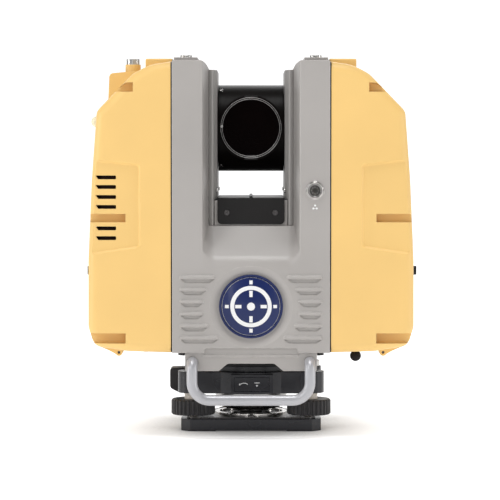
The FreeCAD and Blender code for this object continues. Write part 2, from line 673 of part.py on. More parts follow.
def plate_screws():
    """The socket screws in the plate's legs."""
    start = "-throat_depth + 0.7"
    screws = []
    for side in ("-plate_screw", "plate_screw"):
        screw = fuse(rod("y", "2.5", (side, start, "plate_screw_level"), "0.7"),
                     rod("y", "1.5", (side, start, "plate_screw_level"), "plate_thick - 0.5"))
        screws.append(cut(screw, rod("y", "1.1", (side, f"{start} - 0.1", "plate_screw_level"), "0.7")))
    return [*screws, *[mirrored(screw, Vector(0, 1, 0)) for screw in screws]]


def make_emblem():
    spot = ("0", "-body_half + 0.4", "emblem_level")
    rim = tube("y", "emblem_radius", "emblem_radius - 1.6", spot, "2.6")
    dome = common(rod("y", "emblem_radius - 1.6", ("0", "-body_half - 3", "emblem_level"), "6"),
                  ball("160", ("0", "-body_half + 158.6", "emblem_level")))
    piece("emblem_disc", group(rim, dome))


def make_connector():
    side, level = "connector_side", "connector_level"
    spot = (side, "-body_half - 1.8", level)
    flange = rod("y", "connector_radius + 1.2", (side, "-body_half - 0.9", level), "0.9")
    shell = cut(fuse(rod("y", "connector_radius", spot, "6.8"), flange),
                rod("y", "connector_radius - 1.9", spot, "5"))
    pins = [rod("y", "0.5", (f"{side} + {3 * math.cos(math.radians(angle)):.3f}", "-body_half + 0.4",
                             f"{level} + {3 * math.sin(math.radians(angle)):.3f}"), "1.4")
            for angle in range(0, 360, 45)]
    core = rod("y", "connector_radius - 1.9", (side, "-body_half + 1.4", level), "1.8")
    piece("data_connector", group(shell, fuse(core, *pins)))


def make_handle_seats():
    seats = []
    for side in ("-59.5", "59.5"):
        for back in ("-40", "40"):
            boss = rod("z", "5.5", (side, back, "crown_top"), "2.9")
            seats.append(cut(boss, rod("z", "2.1", (side, back, "crown_top"), "2.9")))
    cap = rod("z", "6.4", ("-113.3", "60", "340.7"), "5.4")
    seats.append(cut(cap, rod("z", "accessory_bore", ("-113.3", "60", "340.7"), "5.4")))
    piece("mounting_seats", group(*seats))


def make_bars():
    bars = piece("carry_bars", DOC.addObject("Part::Feature", "bars"))
    bars.Shape = Part.makeCompound([bent_bar(face) for face in (-1, 1)])


def bent_bar(face):
    """A round bar: out of the apron, down, across below it, up and back in."""
    side, front = number("bar_side"), number("bar_front") * face
    top, low = number("bar_top"), number("bar_level")
    back = 90 * face
    route = [Vector(-side, back, top), Vector(-side, front, top), Vector(-side, front, low),
             Vector(side, front, low), Vector(side, front, top), Vector(side, back, top)]
    bends = [number("bar_neck"), number("bar_bend"), number("bar_bend"), number("bar_neck")]
    edges = []
    start = route[0]
    for index, bend in enumerate(bends, start=1):
        corner = route[index]
        before = (route[index - 1] - corner).normalize()
        after = (route[index + 1] - corner).normalize()
        enter = corner + before * bend
        leave = corner + after * bend
        middle = corner + (before + after) * (bend * (1 - math.sqrt(0.5)))
        edges.append(Part.makeLine(start, enter))
        edges.append(Part.Arc(enter, middle, leave).toShape())
        start = leave
    edges.append(Part.makeLine(start, route[-1]))
    ring = Part.Wire([Part.makeCircle(number("bar_radius"), route[0], Vector(0, face, 0))])
    return Part.Wire(edges).makePipeShell([ring], True, False)


# ---------------------------------------------------------------- mirror

def make_mirror_drum():
    level = "mirror_level"
    barrel = rod("x", "drum_radius", ("-drum_half", "0", level), "2 * drum_half")
    snout = rod("y", "window_outer + 0.8", ("0", "-drum_radius", level), "drum_radius")
    window = rod("y", "window_inner", ("0", "-drum_radius - 1", level), "drum_radius + 1")
    step = rod("y", "window_outer - 1", ("0", "-drum_radius - 1", level), "4")
    beam = rod("x", "beam_radius", ("0", "0", level), "drum_half + 1")
    sphere = ball("mirror_room", ("0", "0", level))
    hub = rod("x", "axle_radius", ("-drum_half - 1", "0", level), "8")
    beam_hub = tube("x", "hub_outer", "beam_radius", ("drum_half", "0", level), "12")
    post = DOC.addObject("Part::Cylinder", "post")
    facing = Vector(1, -1, 0).normalize()
    behind = (f"mirror_thick * {-facing.x:.5f}", f"mirror_thick * {-facing.y:.5f}", level)
    bind(post, Radius="9", Height="mirror_room + 2")
    post.Placement.Rotation = Rotation(Vector(0, 0, 1), -facing)
    heads = [drum_screw(angle) for angle in (60, 180, 300)]
    drum = cut(fuse(barrel, snout), window, step, beam, sphere, hub, *heads)
    piece("mirror_drum", fuse(drum, beam_hub, place(post, behind)))
    piece("drum_screws", group(*heads))
    ring = tube("y", "window_outer - 1", "window_inner", ("0", "-drum_radius - 0.5", level), "2.9")
    clips = [box(("-6", "-drum_radius - 0.9", f"{level} + {low}"),
                 ("6", "-drum_radius - 0.1", f"{level} + {low} + 4.2"))
             for low in ("window_inner - 0.8", "-window_inner - 3.4")]
    piece("window_ring", fuse(ring, *clips))
    piece("window_glass", rod("y", "window_outer - 1.1", ("0", "-drum_radius + 2.4", level), "0.6"))
    glass = DOC.addObject("Part::Cylinder", "glass")
    bind(glass, Radius="mirror_radius", Height="mirror_thick")
    glass.Placement.Rotation = Rotation(Vector(0, 0, 1), facing)
    piece("scan_mirror", place(glass, behind))


def drum_screw(angle):
    """A screw head sunk in the drum's left end, at an angle up from the front."""
    outward = Vector(0, -math.cos(math.radians(angle)), math.sin(math.radians(angle)))
    foot = number("drum_radius") - 1.6
    head = DOC.addObject("Part::Cylinder", "head")
    bind(head, Radius="1.7", Height="2.2")
    head.Placement.Rotation = Rotation(Vector(0, 0, 1), outward)
    return place(head, ("-drum_half + 2.7", f"{outward.y * foot:.3f}",
                        f"mirror_level + {outward.z * foot:.3f}"))


def make_mirror_drive():
    level = "mirror_level"
    axle = rod("x", "axle_radius", ("-62", "0", level), "62 - drum_half + 7")
    disc = tube("x", "18", "axle_radius - 1", ("-63.5", "0", level), "1.5")
    rotor = tube("x", "14", "axle_radius", ("-58", "0", level), "9")
    piece("mirror_axle", group(fuse(axle, disc), rotor))
    azimuth = tube("z", "27", "spindle_radius + 0.05", ("0", "0", "pan_high + 2"), "slab_high - pan_high - 2")
    left = tube("x", "15", "axle_radius + 0.05", ("-45", "0", level), "10.4")
    right = tube("x", "25", "hub_outer + 0.05", ("34.6", "0", level), "6")
    piece("bearings", group(azimuth, left, right))
    barrel = tube("x", "14", "11.5", ("45", "0", level), "22.8")
    lens = common(rod("x", "11.5", ("46", "0", level), "4"), ball("20", ("64", "0", level)))
    piece("laser_optics", group(barrel, lens, box(("-30", "-56", "slab_high"), ("30", "-22", "150"))))


def make_electronics():
    board = box(("-56", "62", "slab_high"), ("56", "63.6", "180"))
    chips = [box((f"{side}", "60", f"{level}"), (f"{side} + 16", "62", f"{level} + 14"))
             for side, level in ((-40, 110), (-8, 130), (24, 112))]
    display_board = box(("129.4", "-46", "200"), ("131", "46", "286"))
    socket = cut(box(("-21.5", "body_half - 14", "104.5"), ("21.5", "body_half - 6.4", "133.5")),
                 box(("-15", "body_half - 12", "124"), ("10", "body_half - 6", "127")),
                 box(("-14", "body_half - 12", "110"), ("-1", "body_half - 6", "115")))
    piece("circuit_boards", group(board, *chips, display_board, socket))


# ---------------------------------------------------------------- side covers

COVER_OUTLINE = [
    ("rim", "cover_low"), ("112", "cover_low + 1.2", "60"), ("141.5", "82.6", "11"),
    ("widest", "100", "14"), ("widest - 0.2", "160", "250"), ("143.2", "232", "400"),
    ("waist - 0.6", "294", "10"), ("106", "327.6", "22"), ("91", "335.6", "40"), ("rim", "cover_top"),
]


def cover_solid(grow, half, rounding):
    body = DOC.addObject("PartDesign::Body", "cover_blank")
    sketch = outline(body, "XZ_Plane", f"-({half})", COVER_OUTLINE)
    source = sketch
    if grow != "0":
        source = DOC.addObject("Part::Offset2D", "grown")
        source.Source = sketch
        source.Mode = 1
        source.Join = 0
        bind(source, Value=grow)
    block = DOC.addObject("Part::Extrusion", "cover_block")
    block.Base = source
    block.DirMode = "Custom"
    block.Dir = Vector(0, -1, 0)
    block.Solid = True
    bind(block, LengthFwd=f"2 * ({half})")
    if rounding == "0":
        return block
    inner = number("rim") + number(grow) * -1 + 2
    face = number(half)
    return rounded(block, rounding, lambda edge: edge.BoundBox.YLength < 0.01
                   and abs(abs(edge.BoundBox.YMin) - face) < 0.01 and edge.BoundBox.XMax > inner)


POCKET_ENDS = {"90": "112.6", "198.1": "112.6", "314.6": "105.7"}


POCKET_HALVES = {"90": 4.5, "198.1": 3.7, "314.6": 4.1}


def side_shell():
    """The right cover as both sides share it: a shell open at its rim, with screw pockets."""
    outer = cover_solid("0", "cover_half", "cover_round")
    inner = cover_solid("-cover_wall", "cover_half - cover_wall", "cover_round - cover_wall")
    mouth = box(("rim - 1", "-cover_half + cover_wall", "cover_low + cover_wall"),
                ("rim + cover_wall + 1", "cover_half - cover_wall", "cover_top - cover_wall - 2"))
    top, rim = number("ridge_top"), number("rim")
    ridge = rounded(box(("rim", "-62", "330"), ("ridge_end", "62", "ridge_top")), "1.5",
                    lambda edge: edge.BoundBox.ZMin > top - 0.1 and edge.BoundBox.XMax > rim + 1)
    spots = [(level, face) for level in SCREW_LEVELS for face in (-1, 1)]
    walls = common(outer, fuse(*[pocket_block(level, face, 2.4) for level, face in spots]))
    solid = fuse(cut(outer, inner, mouth), walls, ridge)
    pockets = [pocket_block(level, face, 0) for level, face in spots]
    panels = [panel_tool(face) for face in (-1, 1)]
    holes = [rod("z", "3", ("94.8", back, "75"), "3.4") for back in ("-78", "78")]
    for level in SCREW_LEVELS:
        for back in SCREW_ROWS:
            holes.append(rod("x", "1.8", (f"{POCKET_ENDS[level]} - 8", back, level), "9"))
            holes.append(rod("x", "3.05", (f"{POCKET_ENDS[level]} - 1.8", back, level), "2"))
    return cut(solid, *pockets, *panels, *holes)


def pocket_block(level, face, skin):
    """A screw's channel, open to the side, or the block of wall round it."""
    start = f"{POCKET_ENDS[level]} - {skin}"
    half = POCKET_HALVES[level] + skin
    low_back, high_back = sorted((face * (89 - skin), face * 103))
    low, high = f"{level} - {half}", f"{level} + {half}"
    if level != "314.6":
        return box((start, str(low_back), low), ("160", str(high_back), high))
    corners = [(start, f"{low} + 0.8"), (f"124 + {skin}", f"{low} + 0.8"),
               (f"112 + {skin}", f"{high} + 0.8", "4"), (start, f"{high} + 0.8")]
    return prism("XZ_Plane", corners, str(low_back), str(high_back))


def panel_tool(face):
    """The shallow slant-ended panel in the cover's face."""
    corners = [("99", "171.6", "4"), ("155", "163.4"), ("155", "252.5"), ("99", "246.4", "4")]
    panel = sunk_panel("cover_half", corners, "panel_deep")
    return panel if face == -1 else mirrored(panel, Vector(0, 1, 0))


def make_door(name, twin):
    band = cut(cover_solid("door_proud", "door_half", "0"), cover_solid("-door_wall", "door_half + 2", "0"))
    bounds = box(("hinge_side - hinge_radius", "-door_half", "60"), ("170", "door_half", "door_top"))
    knuckles = []
    for low in ("-door_half", "door_half - 14"):
        knuckles.append(rod("y", "hinge_radius", ("hinge_side", low, "hinge_level"), "14"))
        knuckles.append(prism("XZ_Plane", [("hinge_side", "hinge_level - hinge_radius"), ("137", "80.6"),
                                           ("137", "83.2"), ("hinge_side", "80.2")], low, f"{low} + 14"))
    bore = rod("y", "hinge_pin + 0.06", ("hinge_side", "-door_half - 1", "hinge_level"), "2 * door_half + 2")
    hole = rod("x", "latch_radius + 0.35", ("130", "-latch_back", "latch_level"), "30")
    door = cut(fuse(common(band, bounds), *knuckles), bore, hole)
    piece(name, twin(door))


def make_latch(name, twin, reach):
    """A quarter-turn latch: its head, a fin to grip, and the tongue inside the door."""
    disc = rod("x", "latch_radius", ("141.5", "-latch_back", "latch_level"), f"{reach} - 1.6 - 141.5")
    fin = box(("144", "-latch_back - 0.9", "latch_level - latch_radius + 0.3"),
              (reach, "-latch_back + 0.9", "latch_level + latch_radius - 0.3"))
    tongue = box(("139.4", "-latch_back - 2", "latch_level - 3"),
                 ("141.5", "-latch_back + 2", "latch_level + 12"))
    piece(name, twin(fuse(disc, fin, tongue)))


def cover_ears():
    """The fixed ears beyond each end of the door's hinge."""
    back = "hinge_side - hinge_radius"
    corners = [("hinge_side", "hinge_level - hinge_radius"), ("134", "81.2"), ("134", "84"),
               (back, "80.5"), (back, "hinge_level")]
    ears = []
    for low in ("-door_half - 9.4", "door_half + 0.4"):
        ears.append(rod("y", "hinge_radius", ("hinge_side", low, "hinge_level"), "9"))
        ears.append(prism("XZ_Plane", corners, low, f"{low} + 9"))
    return ears


def side_cover_parts():
    shell = side_shell()
    opening = box(("hinge_side - hinge_radius - door_gap", "-door_half - door_gap", "60"),
                  ("170", "door_half + door_gap", "door_top + door_gap"))
    pins = rod("y", "hinge_pin", ("hinge_side", "-door_half - 12", "hinge_level"), "2 * door_half + 24")
    return cut(fuse(cut(shell, opening), *cover_ears()), pins)


def vent_slots():
    """Slots through the left cover's front and rear faces, and rows of longer ones in its side."""
    slots = []
    for level in ("180.1", "188.9", "208.1", "217", "226", "234.6"):
        for face in (-1, 1):
            low, high = sorted((face * 90, face * 103))
            corners = [("-137", f"{level} - vent_half"), ("-121", f"{level} - vent_half", "1"),
                       ("-121", f"{level} + vent_half", "1"), ("-139.5", f"{level} + vent_half")]
            slots.append(prism("XZ_Plane", corners, str(low), str(high)))
        slots.append(side_slot(level))
    return [*slots, side_slot("198.1"), side_slot("243.7")]


def side_slot(level):
    return box(("-150", "-64", f"{level} - vent_half"), ("-136", "64", f"{level} + vent_half"))


def make_left_cover(shell):
    """The left cover, with the accessory post's block at the rear and the vents."""
    base = mirrored(shell, Vector(1, 0, 0))
    block = prism("XZ_Plane", [("-92", "300"), ("-92", "334.8"), ("-118", "333.6", "4"),
                               ("-135.2", "332", "4"), ("-136.6", "301")], "44", "76")
    room = prism("XZ_Plane", [("-98", "303"), ("-98", "330"), ("-118", "330"), ("-132", "328"),
                              ("-133", "306")], "47", "73")
    post = rod("z", "7.37", ("-113.3", "60", "330"), "10.7")
    seat = rod("z", "accessory_bore", ("-113.3", "60", "327"), "20")
    lamp = rod("x", "4.2", ("-150", "lamp_back", "lamp_level"), "16")
    piece("left_cover", cut(fuse(base, cut(block, room), post), seat, lamp, *vent_slots()))


def make_status_lamp():
    dome = common(ball("lamp_radius", ("-142.5", "lamp_back", "lamp_level")),
                  box(("-160", "-50", "270"), ("-142.5", "-10", "300")))
    collar = rod("x", "lamp_radius", ("-142.5", "lamp_back", "lamp_level"), "2.8")
    stem = rod("x", "4.1", ("-139.8", "lamp_back", "lamp_level"), "6")
    piece("status_lamp_lens", fuse(dome, collar, stem))


PANEL_FACE = "137.4"
KEYS = {"power": -24, "menu": 0, "start": 24}


def make_right_cover(shell):
    block = common(cover_solid("0", "60", "0"), box(("131", "-52", "190"), ("150", "52", "292")))
    recess = box((PANEL_FACE, "-48", "196"), ("160", "48", "286"))
    screen = box(("125", "-36", "221"), ("150", "36", "281"))
    screen_window = box(("130", "-34", "223"), ("150", "34", "279"))
    holes = [rod("x", "4.5", ("130", str(back), "208"), "20") for back in KEYS.values()]
    bezel = cut(box((PANEL_FACE, "-40", "217.5"), (f"{PANEL_FACE} + 1.2", "40", "284")), screen_window)
    piece("right_cover", fuse(cut(fuse(shell, block), recess, screen, *holes), bezel))
    piece("display_glass", box(("134.6", "-35.6", "221.4"), (PANEL_FACE, "35.6", "280.6")))


def make_keys():
    for name, back in KEYS.items():
        cap = rod("x", "4.1", ("132.8", str(back), "208"), f"{PANEL_FACE} + 1.6 - 132.8")
        piece(f"{name}_key", cap)


def make_foam():
    """The seals between the side covers and the housing, and the foam behind the left cover's vents."""
    band = cut(box(("seam_half", "-cover_half + 0.5", "pan_high + 0.6"),
                   ("rim", "cover_half - 0.5", "cover_top - 0.8")),
               box(("seam_half - 1", "-cover_half + 3.8", "pan_high + 4"),
                   ("rim + 1", "cover_half - 3.8", "cover_top - 4.4")))
    corners = [("-119", "-95.9"), ("-134", "-95.9"), ("-138.8", "-91.5"), ("-138.8", "-88.5"),
               ("-119", "-88.5")]
    pads = [prism("XY_Plane", corners, low, high) for low, high in (("176.6", "191.5"), ("204.7", "238"))]
    twins = [mirrored(pad, Vector(0, 1, 0)) for pad in pads]
    piece("foam_seals_and_filters", group(*both_sides(band), *pads, *twins))


def make_fasteners():
    """The side covers' screws, each sunk under a flush cap, the plate's screws and the doors' pins."""
    screws, caps = [], []
    for level in SCREW_LEVELS:
        start = POCKET_ENDS[level]
        for back in SCREW_ROWS:
            screws.append(fuse(rod("x", "1.8", ("seam_half - 4", back, level), f"{start} - seam_half + 3"),
                               rod("x", "3", (f"{start} - 1.8", back, level), "1.4")))
            caps.append(rod("x", "3", (f"{start} - 0.4", back, level), "0.4"))
    pin = rod("y", "hinge_pin", ("hinge_side", "-door_half - 7", "hinge_level"), "2 * door_half + 14")
    piece("screws_and_hinge_pins", group(*both_sides(*screws, pin), *plate_screws()))
    piece("cover_screw_caps", group(*both_sides(*caps)))


def make_batteries():
    """A tray with two packs behind each door."""
    tray = cut(box(("94", "-45", "84.5"), ("131", "45", "168")),
               box(("96", "-43", "86.5"), ("132", "43", "166")))
    rib = box(("94", "-0.8", "84.5"), ("131", "0.8", "168"))
    arms = [box(("seam_half", low, "100"), ("94", high, "150"))
            for low, high in (("-40", "-36"), ("36", "40"))]
    packs = [box(("97", low, "88"), ("135.4", high, "158.6"))
             for low, high in (("-41.2", "-1.5"), ("1.5", "41.2"))]
    piece("battery_trays", group(*both_sides(fuse(tray, rib, *arms))))
    piece("battery_packs", group(*both_sides(*packs)))


def make_fan():
    """An axial fan behind the left cover's grille."""
    frame = cut(box(("-fan_face - 10", "-20", "186"), ("-fan_face", "20", "226")),
                rod("x", "18.5", ("-fan_face - 11", "0", "206"), "12"))
    strut = box(("-fan_face - 2", "-19", "204"), ("-fan_face", "19", "208"))
    piece("fan_frame", fuse(frame, strut))
    blades = []
    for index in range(7):
        turn = Rotation(Vector(1, 0, 0), index * 360 / 7)
        root = turn.multVec(Vector(0, 6, 0))
        blade = DOC.addObject("Part::Box", "blade")
        bind(blade, Length="1.2", Width="11.5", Height="5.4")
        blade.Placement.Rotation = turn * Rotation(Vector(0, 1, 0), 40)
        blades.append(place(blade, ("-fan_face - 8.2", f"{root.y:.3f}", f"206 + {root.z:.3f}")))
    hub = rod("x", "7", ("-fan_face - 8.5", "0", "206"), "5.8")
    piece("fan_rotor", fuse(hub, *blades))


def make_hatch():
    panel = box(("-25.4", "body_half - 3.2", "hatch_level"), ("25.4", "body_half", "137.4"))
    knuckle = rod("x", "1.6", ("-25.4", "hatch_back", "hatch_level"), "50.8")
    pins = rod("x", "1.2", ("-28.4", "hatch_back", "hatch_level"), "56.8")
    grip = rod("x", "3", ("-8", "body_half", "135"), "16")
    piece("media_door", cut(fuse(panel, knuckle, pins), grip))


def make_buffers():
    """Rubber under the side covers: a round one front right, low ones behind, a blank front left."""
    dome = common(ball("5", ("94.8", "-78", "72.7")), box(("80", "-90", "60"), ("110", "-60", "76.6")))
    pads = [fuse(dome, rod("z", "3", ("94.8", "-78", "74"), "4.4")),
            rod("z", "3", ("-94.8", "-78", "76.4"), "2")]
    for side in ("-94.8", "94.8"):
        pads.append(fuse(rod("z", "4.6", (side, "78", "70.6"), "5.2"),
                         rod("z", "3", (side, "78", "75.4"), "3")))
    piece("rubber_buffers", group(*pads))


def check_and_write():
    DOC.recompute()
    failed = [f"{item.Name} ({item.Label})" for item in DOC.Objects if {"Invalid", "Error"} & set(item.State)]
    if failed:
        raise RuntimeError(f"these objects did not compute: {failed}")
    os.makedirs("parts", exist_ok=True)
    for name, item in PIECES.items():
        shape = item.Shape
        if shape.isNull() or not shape.isValid() or not shape.Solids:
            raise RuntimeError(f"{name} has no sound shape")
        shape.exportStep(f"parts/{name}.step")
        print(f"{name:28s} {len(shape.Solids):3d} solids {shape.Volume / 1000:9.2f} cm3")


def build_tribrach():
    make_base_plate()
    make_spring_plate()
    for side in FOOT_SCREWS:
        make_foot_screw(side)
    make_tribrach_head()
    make_head_bowl()
    make_lock_lever()
    make_circular_level()
    make_adapter()
    make_azimuth_drive()


def build_housing():
    make_chassis()
    make_bottom_pan()
    shell = half_shell()
    make_front_cover(shell)
    make_rear_cover(shell)
    make_liners()
    make_gap_plate()
    make_emblem()
    make_connector()
    make_handle_seats()
    make_bars()
    make_mirror_drum()
    make_mirror_drive()
    make_electronics()
    make_hatch()


def build_sides():
    covers = side_cover_parts()
    make_left_cover(covers)
    make_status_lamp()
    make_right_cover(covers)
    make_door("right_battery_door", lambda shape: shape)
    make_door("left_battery_door", lambda shape: mirrored(shape, Vector(1, 0, 0)))
    make_latch("right_door_latch", lambda shape: shape, "latch_reach")
    make_latch("left_door_latch", lambda shape: mirrored(shape, Vector(1, 0, 0)), "latch_reach - 1.7")
    make_keys()
    make_foam()
    make_fasteners()
    make_batteries()
    make_fan()
    make_buffers()


fill_sheet()
build_tribrach()
build_housing()
build_sides()
check_and_write()
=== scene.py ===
"""Looks of the terrestrial laser scanner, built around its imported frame.

Metres, Z up, front towards -Y. The fine pieces are drawn in millimetres and scaled as they are placed.
"""

import json
import math

import bmesh
import bpy
from mathutils import Matrix, Vector


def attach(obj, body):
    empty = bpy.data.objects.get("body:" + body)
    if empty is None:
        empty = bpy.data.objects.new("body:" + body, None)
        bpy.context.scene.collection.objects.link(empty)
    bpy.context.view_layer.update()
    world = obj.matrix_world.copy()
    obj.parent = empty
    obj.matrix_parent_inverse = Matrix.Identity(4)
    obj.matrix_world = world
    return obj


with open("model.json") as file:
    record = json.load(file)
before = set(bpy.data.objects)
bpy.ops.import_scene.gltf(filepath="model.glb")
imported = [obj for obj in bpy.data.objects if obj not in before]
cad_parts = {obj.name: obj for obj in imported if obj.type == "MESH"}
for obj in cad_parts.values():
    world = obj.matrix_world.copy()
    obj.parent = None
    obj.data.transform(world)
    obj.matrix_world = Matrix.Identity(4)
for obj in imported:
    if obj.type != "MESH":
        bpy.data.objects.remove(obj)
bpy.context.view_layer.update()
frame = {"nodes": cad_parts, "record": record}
NODES = frame["nodes"]
MM = 0.001


# ---------------------------------------------------------------- finishes

class Finish:
    """A procedural material, built node by node, with its coordinates in object space."""

    def __init__(self, name, rough, metal=0.0):
        self.material = bpy.data.materials.new(name)
        self.material.use_nodes = True
        self.nodes = self.material.node_tree.nodes
        self.links = self.material.node_tree.links
        self.shader = self.nodes["Principled BSDF"]
        self.shader.inputs["Metallic"].default_value = metal
        self.shader.inputs["Roughness"].default_value = rough
        self.coords = self.add("ShaderNodeTexCoord").outputs["Object"]
        self.normal = None

    def add(self, kind, **settings):
        node = self.nodes.new(kind)
        for key, value in settings.items():
            setattr(node, key, value)
        return node

    def feed(self, socket, value):
        if isinstance(value, bpy.types.NodeSocket):
            self.links.new(value, socket)
        else:
            socket.default_value = value

    def noise(self, scale, detail=2.0, stretch=None):
        node = self.add("ShaderNodeTexNoise")
        node.inputs["Scale"].default_value = scale
        node.inputs["Detail"].default_value = detail
        source = self.coords
        if stretch:
            mapping = self.add("ShaderNodeMapping")
            mapping.inputs["Scale"].default_value = stretch
            self.feed(mapping.inputs["Vector"], source)
            source = mapping.outputs["Vector"]
        self.feed(node.inputs["Vector"], source)
        return node.outputs["Fac"]

    def remap(self, value, low, high, to_low, to_high):
        node = self.add("ShaderNodeMapRange")
        for socket, number in zip(node.inputs[:5], (value, low, high, to_low, to_high)):
            self.feed(socket, number)
        return node.outputs["Result"]

    def math(self, operation, first, second):
        node = self.add("ShaderNodeMath", operation=operation)
        self.feed(node.inputs[0], first)
        self.feed(node.inputs[1], second)
        return node.outputs[0]

    def mix(self, factor, first, second, blend="MIX"):
        node = self.add("ShaderNodeMix", data_type="RGBA", blend_type=blend)
        self.feed(node.inputs[0], factor)
        self.feed(node.inputs[6], first)
        self.feed(node.inputs[7], second)
        return node.outputs[2]

    def soften(self, radius):
        """Rounds the shading of sharp edges, and returns how close a point is to one."""
        bevel = self.add("ShaderNodeBevel", samples=5)
        bevel.inputs["Radius"].default_value = radius
        self.normal = bevel.outputs["Normal"]
        facing = self.add("ShaderNodeVectorMath", operation="DOT_PRODUCT")
        self.feed(facing.inputs[0], self.normal)
        self.feed(facing.inputs[1], self.add("ShaderNodeNewGeometry").outputs["Normal"])
        return self.remap(facing.outputs["Value"], 0.997, 0.90, 0.0, 1.0)

    def bump(self, height, strength, distance):
        node = self.add("ShaderNodeBump")
        node.inputs["Strength"].default_value = strength
        node.inputs["Distance"].default_value = distance
        self.feed(node.inputs["Height"], height)
        if self.normal is not None:
            self.feed(node.inputs["Normal"], self.normal)
        self.normal = node.outputs["Normal"]

    def done(self, color):
        self.feed(self.shader.inputs["Base Color"], color)
        if self.normal is not None:
            self.feed(self.shader.inputs["Normal"], self.normal)
        return self.material


def scaled(color, factor):
    """A colour made lighter or darker, with its alpha."""
    return tuple(min(1.0, channel * factor) for channel in color[:3]) + (1.0,)


def coated(name, color, rough, *, metal=0.0, mottle=0.05, grain=(900, 0.00005), edge=0.0008,
           wear_and_highlight=1.25, wear_and_highlight_amount=0.5, hollow_shade=0.0, **sockets):
    """Paint, moulded plastic, anodising, glass or plain metal.

    mottle is how far the colour varies. grain is the scale of the fine relief and its height in metres.
    edge is the radius of a softened edge in metres, wear_and_highlight how light or dark that edge is painted
    beside the colour, a painted highlight in patches that also reads as wear, and wear_and_highlight_amount
    how strongly it shows. hollow_shade is how strongly hollows are darkened with painted shade. Any other
    name is a socket of the shader.
    """
    finish = Finish(name, rough, metal)
    slow = finish.noise(11.0, 3.0)
    fine = finish.noise(grain[0], 4.0)
    base = finish.mix(finish.remap(slow, 0.35, 0.65, 0.0, 1.0),
                      scaled(color, 1 - mottle), scaled(color, 1 + mottle))
    base = finish.mix(finish.remap(fine, 0.4, 0.62, 0.0, mottle * 1.6), base, scaled(color, 0.72))
    if edge:
        # painted highlight that also reads as wear: edges near a sharp corner are made lighter in patches,
        # darker where the factor is below one
        near = finish.soften(edge)
        patches = finish.remap(finish.noise(160.0, 3.0), 0.38, 0.6, 0.35, 1.0)
        patchy = finish.math("MULTIPLY", near, patches)
        base = finish.mix(finish.math("MULTIPLY", patchy, wear_and_highlight_amount), base, scaled(color, wear_and_highlight))
    if hollow_shade:
        # painted shade: hollows and recesses darkened from ambient occlusion
        hollow = finish.add("ShaderNodeAmbientOcclusion", samples=4)
        hollow.inputs["Distance"].default_value = 0.006
        dark = finish.remap(hollow.outputs["AO"], 0.35, 0.9, hollow_shade, 0.0)
        base = finish.mix(dark, base, scaled(color, 0.35))
    spread = finish.remap(finish.noise(34.0, 4.0), 0.3, 0.7, rough * 0.88, min(1.0, rough * 1.14))
    finish.feed(finish.shader.inputs["Roughness"], spread)
    finish.bump(fine, 1.0, grain[1])
    for socket, value in sockets.items():
        finish.shader.inputs[socket.replace("_", " ")].default_value = value
    return finish.done(base)


def brushed(name, color, rough, stretch, depth=0.00002, metal=1.0, edge=0.0006):
    """Metal with fine tool or grinding lines along one direction, and a painted highlight along its edges."""
    finish = Finish(name, rough, metal)
    near = finish.soften(edge)
    lines = finish.noise(420.0, 3.0, stretch)
    cloud = finish.noise(26.0, 3.0)
    base = finish.mix(finish.remap(lines, 0.35, 0.65, 0.0, 1.0),
                      scaled(color, 0.88), scaled(color, 1.1))
    base = finish.mix(finish.remap(cloud, 0.4, 0.7, 0.0, 0.35), base, scaled(color, 0.8))
    # painted highlight: the colour is made lighter near sharp edges
    base = finish.mix(finish.math("MULTIPLY", near, 0.6), base, scaled(color, 1.35))
    spread = finish.remap(lines, 0.3, 0.7, rough * 0.8, rough * 1.25)
    finish.feed(finish.shader.inputs["Roughness"], spread)
    finish.bump(lines, 0.8, depth)
    return finish.done(base)


